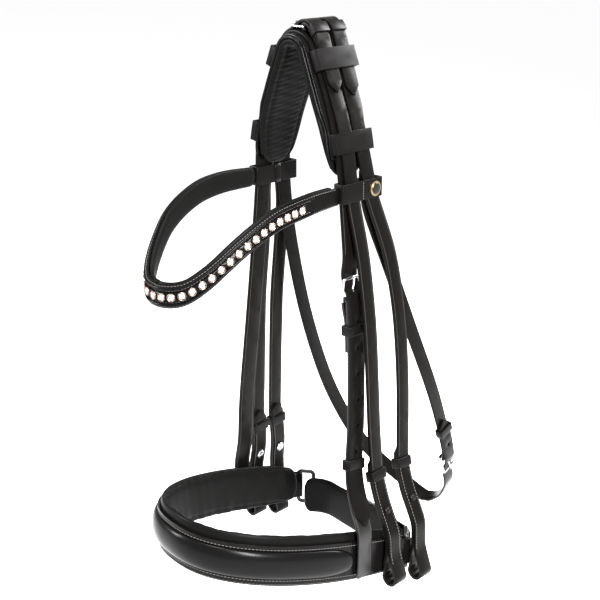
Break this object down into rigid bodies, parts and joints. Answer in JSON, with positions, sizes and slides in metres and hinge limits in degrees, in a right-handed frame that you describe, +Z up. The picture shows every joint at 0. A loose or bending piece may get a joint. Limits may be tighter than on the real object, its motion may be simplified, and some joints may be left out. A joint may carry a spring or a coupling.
{
  "type": "snaffle bridle",
  "caption": "Padded leather bridle with crystal browband and crank noseband; buckled straps carry a bit and hold it on a horse's head.",
  "frame": {"origin": "axis of the crown's inner arch, where a peg or rack would hold it, level with the middle of the crown's straps", "axes": "+X to the horse's near (left) side, -Y towards the face and the browband, +Z up"},
  "size_m": [0.2069, 0.3666, 0.5144],
  "materials": {
    "padded_leather": "satin, smooth",
    "soft_lining": "soft matte, finely wrinkled",
    "strap_leather": "satin, creased edges",
    "keeper_leather": "satin",
    "hardware": "polished",
    "covered_ring": "black coated, satin",
    "crystal": "clear, cut",
    "crystal_setting": "polished pale metal",
    "badge": "polished ring"
  },
  "bodies": {
    "headpiece": {"crown_lining": "soft_lining", "crown_outer": "padded_leather", "noseband_headstrap": "strap_leather", "noseband_hanger": "strap_leather", "hanger_buckle_frame": "hardware", "hanger_keeper_fixed": "keeper_leather", "cheek_front_near": "strap_leather", "cheek_front_off": "strap_leather", "cheek_rear_near": "strap_leather", "cheek_rear_off": "strap_leather", "stud_front_near": "hardware", "stud_front_off": "hardware", "stud_rear_near": "hardware", "stud_rear_off": "hardware", "poll_buckle_front_frame": "hardware", "poll_buckle_rear_frame": "hardware", "crown_keeper_top_near": "keeper_leather", "crown_keeper_top_off": "keeper_leather", "crown_keeper_mid_near": "keeper_leather", "crown_keeper_mid_off": "keeper_leather", "poll_keeper_front": "keeper_leather", "poll_keeper_rear": "keeper_leather", "browband_outer": "padded_leather", "browband_lining": "soft_lining", "crystal_cups": "crystal_setting", "crystals": "crystal", "browband_loop_near": "keeper_leather", "browband_loop_off": "keeper_leather", "loop_badge": "badge", "noseband_outer": "padded_leather", "noseband_lining": "soft_lining", "noseband_bolster": "padded_leather", "crank_strap": "strap_leather", "crank_buckle_tab": "strap_leather", "crank_buckle_frame": "hardware", "crank_ring_near": "covered_ring", "crank_ring_off": "covered_ring"},
    "throatlash": {"throatlash_near": "strap_leather", "throatlash_off": "strap_leather", "throat_buckle_frame": "hardware"},
    "throat_prong": {"throat_buckle_prong": "hardware"},
    "throat_slider": {"throat_keeper": "keeper_leather"},
    "hanger_prong": {"hanger_buckle_prong": "hardware"},
    "poll_prong_front": {"poll_buckle_front_prong": "hardware"},
    "poll_prong_rear": {"poll_buckle_rear_prong": "hardware"},
    "crank_prong": {"crank_buckle_prong": "hardware"},
    "crank_slider": {"crank_keeper": "keeper_leather"},
    "chin_slider": {"chin_pad": "soft_lining"},
    "hanger_slider": {"hanger_keeper_sliding": "keeper_leather"},
    "bit_slider_front_near": {"bit_keeper_front_near": "keeper_leather"},
    "bit_slider_front_off": {"bit_keeper_front_off": "keeper_leather"},
    "bit_slider_rear_near": {"bit_keeper_rear_near": "keeper_leather"},
    "bit_slider_rear_off": {"bit_keeper_rear_off": "keeper_leather"}
  },
  "joints": [
    {"name": "throatlash_swing", "type": "hinge", "parent": "headpiece", "child": "throatlash", "pos_m": [0, 0.014, -0.097], "axis": [1, 0, 0], "range_deg": [-6, 10], "stiffness_Nm_per_rad": 0.3, "springref_deg": 5.73},
    {"name": "hanger_prong_turn", "type": "hinge", "parent": "headpiece", "child": "hanger_prong", "pos_m": [0.05114, -0.00588, -0.202], "axis": [0, 1, 0], "range_deg": [0, 6]},
    {"name": "poll_prong_front_turn", "type": "hinge", "parent": "headpiece", "child": "poll_prong_front", "pos_m": [0.00699, -0.01067, 0.02286], "axis": [0, 1, 0], "range_deg": [0, 10]},
    {"name": "poll_prong_rear_turn", "type": "hinge", "parent": "headpiece", "child": "poll_prong_rear", "pos_m": [0.00699, 0.00949, 0.02286], "axis": [0, 1, 0], "range_deg": [0, 10]},
    {"name": "throat_prong_turn", "type": "hinge", "parent": "throatlash", "child": "throat_prong", "pos_m": [0.05115, 0.13992, -0.40019], "axis": [0, -0.9063, -0.4226], "range_deg": [0, 10]},
    {"name": "crank_prong_turn", "type": "hinge", "parent": "headpiece", "child": "crank_prong", "pos_m": [0.00957, 0.06686, -0.4488], "axis": [0, 0, 1], "range_deg": [0, 10]},
    {"name": "hanger_keeper_sliding_slide", "type": "slide", "parent": "headpiece", "child": "hanger_slider", "axis": [0.1738, -0.1844, -0.9674], "range_m": [-0.002, 0.002]},
    {"name": "bit_keeper_front_near_slide", "type": "slide", "parent": "headpiece", "child": "bit_slider_front_near", "axis": [0.226, 0.0025, -0.9741], "range_m": [-0.002, 0.002]},
    {"name": "bit_keeper_front_off_slide", "type": "slide", "parent": "headpiece", "child": "bit_slider_front_off", "axis": [-0.0839, 0.1028, -0.9912], "range_m": [-0.002, 0.002]},
    {"name": "bit_keeper_rear_near_slide", "type": "slide", "parent": "headpiece", "child": "bit_slider_rear_near", "axis": [0.254, -0.0749, -0.9643], "range_m": [-0.0006, 0.002]},
    {"name": "bit_keeper_rear_off_slide", "type": "slide", "parent": "headpiece", "child": "bit_slider_rear_off", "axis": [-0.0273, 0.1268, -0.9916], "range_m": [-0.0012, 0.002]},
    {"name": "throat_keeper_slide", "type": "slide", "parent": "throatlash", "child": "throat_slider", "axis": [-0.0684, 0.4032, -0.9125], "range_m": [-0.003, 0.003]},
    {"name": "crank_keeper_slide", "type": "slide", "parent": "headpiece", "child": "crank_slider", "axis": [0.9903, -0.1392, 0], "range_m": [-0.002, 0.002]},
    {"name": "chin_pad_slide", "type": "slide", "parent": "headpiece", "child": "chin_slider", "axis": [0.9903, -0.1392, 0], "range_m": [-0.002, 0.002]}
  ]
}
